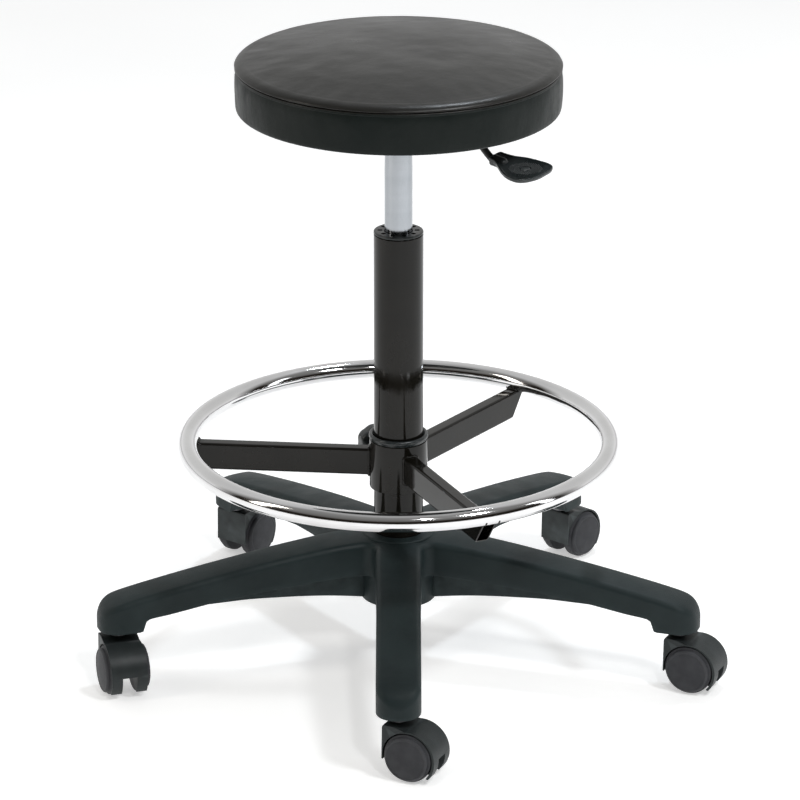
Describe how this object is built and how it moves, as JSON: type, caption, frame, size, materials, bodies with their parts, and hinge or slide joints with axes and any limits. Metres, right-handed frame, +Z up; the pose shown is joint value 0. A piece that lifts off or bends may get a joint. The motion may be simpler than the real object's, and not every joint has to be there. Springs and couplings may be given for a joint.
{
  "type": "adjustable swivel stool",
  "caption": "Height-adjustable swivel stool with a round padded seat, a gas lift with a release lever, a sliding foot ring and a star base on twin-wheel casters.",
  "frame": {"origin": "on the floor, in the middle of the stool's footprint; the column axis stands at x = -0.0126, y = 0.0232", "axes": "+Z up along the column; -Y towards the viewer of the picture, where one leg points; +X to the viewer's right, the side with the lever"},
  "size_m": [0.6404, 0.6242, 0.6435],
  "materials": {
    "base_nylon": "fine-textured moulded nylon",
    "caster_plastic": "satin moulded nylon",
    "caster_tread": "satin moulded nylon wheel",
    "smooth_plastic": "smooth moulded plastic",
    "black_paint": "gloss black paint on steel",
    "chrome": "bright chrome plate",
    "bright_steel": "bright ground steel",
    "dark_steel": "plain dark steel",
    "rubber": "matt rubber",
    "vinyl": "smooth black vinyl upholstery",
    "foam": "open-cell foam",
    "plywood": "plywood",
    "dust_cloth": "non-woven dust cloth"
  },
  "bodies": {
    "base": {"star_base": "base_nylon", "column_tube": "black_paint", "guide_bush": "smooth_plastic", "lower_thrust_washer": "dark_steel", "thrust_ball_cage": "dark_steel"},
    "spindle": {"piston_rod": "bright_steel", "upper_thrust_washer": "dark_steel", "bumper": "rubber", "rod_clip": "dark_steel"},
    "seat": {"gas_cylinder": "bright_steel", "taper_socket": "black_paint", "seat_plate": "black_paint", "seat_bolt_1": "dark_steel", "seat_bolt_2": "dark_steel", "seat_bolt_3": "dark_steel", "seat_bolt_4": "dark_steel", "dust_cover": "dust_cloth", "seat_board": "plywood", "seat_foam": "foam", "seat_cover": "vinyl", "lever_pivot_pin": "dark_steel"},
    "lever": {"lever_rod": "black_paint", "lever_paddle": "smooth_plastic"},
    "release_pin": {"release_pin": "dark_steel"},
    "ring_slider": {"ring_bush": "smooth_plastic"},
    "foot_ring": {"foot_ring": "chrome", "ring_spoke_1": "black_paint", "ring_spoke_2": "black_paint", "ring_spoke_3": "black_paint", "ring_hub": "black_paint"},
    "clamp_screw": {"clamp_screw": "dark_steel"},
    "clamp_knob": {"clamp_knob": "smooth_plastic"},
    "caster_1": {"caster_stem_1": "dark_steel", "caster_hood_1": "caster_plastic", "caster_axle_1": "dark_steel"},
    "wheel_1a": {"caster_wheel_1a": "caster_tread"},
    "wheel_1b": {"caster_wheel_1b": "caster_tread"},
    "caster_2": {"caster_stem_2": "dark_steel", "caster_hood_2": "caster_plastic", "caster_axle_2": "dark_steel"},
    "wheel_2a": {"caster_wheel_2a": "caster_tread"},
    "wheel_2b": {"caster_wheel_2b": "caster_tread"},
    "caster_3": {"caster_stem_3": "dark_steel", "caster_hood_3": "caster_plastic", "caster_axle_3": "dark_steel"},
    "wheel_3a": {"caster_wheel_3a": "caster_tread"},
    "wheel_3b": {"caster_wheel_3b": "caster_tread"},
    "caster_4": {"caster_stem_4": "dark_steel", "caster_hood_4": "caster_plastic", "caster_axle_4": "dark_steel"},
    "wheel_4a": {"caster_wheel_4a": "caster_tread"},
    "wheel_4b": {"caster_wheel_4b": "caster_tread"},
    "caster_5": {"caster_stem_5": "dark_steel", "caster_hood_5": "caster_plastic", "caster_axle_5": "dark_steel"},
    "wheel_5a": {"caster_wheel_5a": "caster_tread"},
    "wheel_5b": {"caster_wheel_5b": "caster_tread"}
  },
  "joints": [
    {"name": "seat_swivel", "type": "hinge", "parent": "base", "child": "spindle", "pos_m": [-0.0126, 0.0232, 0.0675], "axis": [0, 0, 1], "continuous": true},
    {"name": "seat_height", "type": "slide", "parent": "spindle", "child": "seat", "axis": [0, 0, 1], "range_m": [-0.08, 0.115]},
    {"name": "lever_rock", "type": "hinge", "parent": "seat", "child": "lever", "pos_m": [0.01167, 0.00557, 0.571], "axis": [-0.5878, -0.809, 0], "range_deg": [0, 5.5], "stiffness_Nm_per_rad": 6, "springref_deg": -5.73},
    {"name": "release_pin_press", "type": "slide", "parent": "seat", "child": "release_pin", "axis": [0, 0, 1], "range_m": [-0.0032, 0]},
    {"name": "ring_height", "type": "slide", "parent": "base", "child": "ring_slider", "axis": [0, 0, 1], "range_m": [-0.04, 0.2]},
    {"name": "ring_turn", "type": "hinge", "parent": "ring_slider", "child": "foot_ring", "pos_m": [-0.0126, 0.0232, 0.2272], "axis": [0, 0, 1], "continuous": true},
    {"name": "clamp_screw_travel", "type": "slide", "parent": "foot_ring", "child": "clamp_screw", "axis": [-0.4147, 0.91, 0], "range_m": [0, 0.003]},
    {"name": "clamp_knob_turn", "type": "hinge", "parent": "clamp_screw", "child": "clamp_knob", "pos_m": [-0.03333, 0.0687, 0.2065], "axis": [-0.4147, 0.91, 0], "range_deg": [0, 720]},
    {"name": "caster_swivel_1", "type": "hinge", "parent": "base", "child": "caster_1", "pos_m": [-0.0126, -0.275, 0.0535], "axis": [0, 0, 1], "continuous": true},
    {"name": "wheel_roll_1a", "type": "hinge", "parent": "caster_1", "child": "wheel_1a", "pos_m": [0.00326, -0.2824, 0.025], "axis": [0.4226, 0.9063, 0], "continuous": true},
    {"name": "wheel_roll_1b", "type": "hinge", "parent": "caster_1", "child": "wheel_1b", "pos_m": [0.00326, -0.2824, 0.025], "axis": [0.4226, 0.9063, 0], "continuous": true},
    {"name": "caster_swivel_2", "type": "hinge", "parent": "base", "child": "caster_2", "pos_m": [0.27101, -0.06895, 0.0535], "axis": [0, 0, 1], "continuous": true},
    {"name": "wheel_roll_2a", "type": "hinge", "parent": "caster_2", "child": "wheel_2a", "pos_m": [0.28687, -0.07635, 0.025], "axis": [0.4226, 0.9063, 0], "continuous": true},
    {"name": "wheel_roll_2b", "type": "hinge", "parent": "caster_2", "child": "wheel_2b", "pos_m": [0.28687, -0.07635, 0.025], "axis": [0.4226, 0.9063, 0], "continuous": true},
    {"name": "caster_swivel_3", "type": "hinge", "parent": "base", "child": "caster_3", "pos_m": [0.16268, 0.26445, 0.0535], "axis": [0, 0, 1], "continuous": true},
    {"name": "wheel_roll_3a", "type": "hinge", "parent": "caster_3", "child": "wheel_3a", "pos_m": [0.17416, 0.27766, 0.025], "axis": [-0.7547, 0.6561, 0], "continuous": true},
    {"name": "wheel_roll_3b", "type": "hinge", "parent": "caster_3", "child": "wheel_3b", "pos_m": [0.17416, 0.27766, 0.025], "axis": [-0.7547, 0.6561, 0], "continuous": true},
    {"name": "caster_swivel_4", "type": "hinge", "parent": "base", "child": "caster_4", "pos_m": [-0.18788, 0.26445, 0.0535], "axis": [0, 0, 1], "continuous": true},
    {"name": "wheel_roll_4a", "type": "hinge", "parent": "caster_4", "child": "wheel_4a", "pos_m": [-0.17784, 0.27879, 0.025], "axis": [-0.8191, 0.5736, 0], "continuous": true},
    {"name": "wheel_roll_4b", "type": "hinge", "parent": "caster_4", "child": "wheel_4b", "pos_m": [-0.17784, 0.27879, 0.025], "axis": [-0.8191, 0.5736, 0], "continuous": true},
    {"name": "caster_swivel_5", "type": "hinge", "parent": "base", "child": "caster_5", "pos_m": [-0.29621, -0.06895, 0.0535], "axis": [0, 0, 1], "continuous": true},
    {"name": "wheel_roll_5a", "type": "hinge", "parent": "caster_5", "child": "wheel_5a", "pos_m": [-0.2908, -0.08559, 0.025], "axis": [0.9511, 0.309, 0], "continuous": true},
    {"name": "wheel_roll_5b", "type": "hinge", "parent": "caster_5", "child": "wheel_5b", "pos_m": [-0.2908, -0.08559, 0.025], "axis": [0.9511, 0.309, 0], "continuous": true}
  ],
  "couplings": [
    {"joint": "release_pin_press", "follows": "lever_rock", "m_per_rad": -0.033},
    {"joint": "clamp_screw_travel", "follows": "clamp_knob_turn", "m_per_rad": 0.00023873}
  ]
}
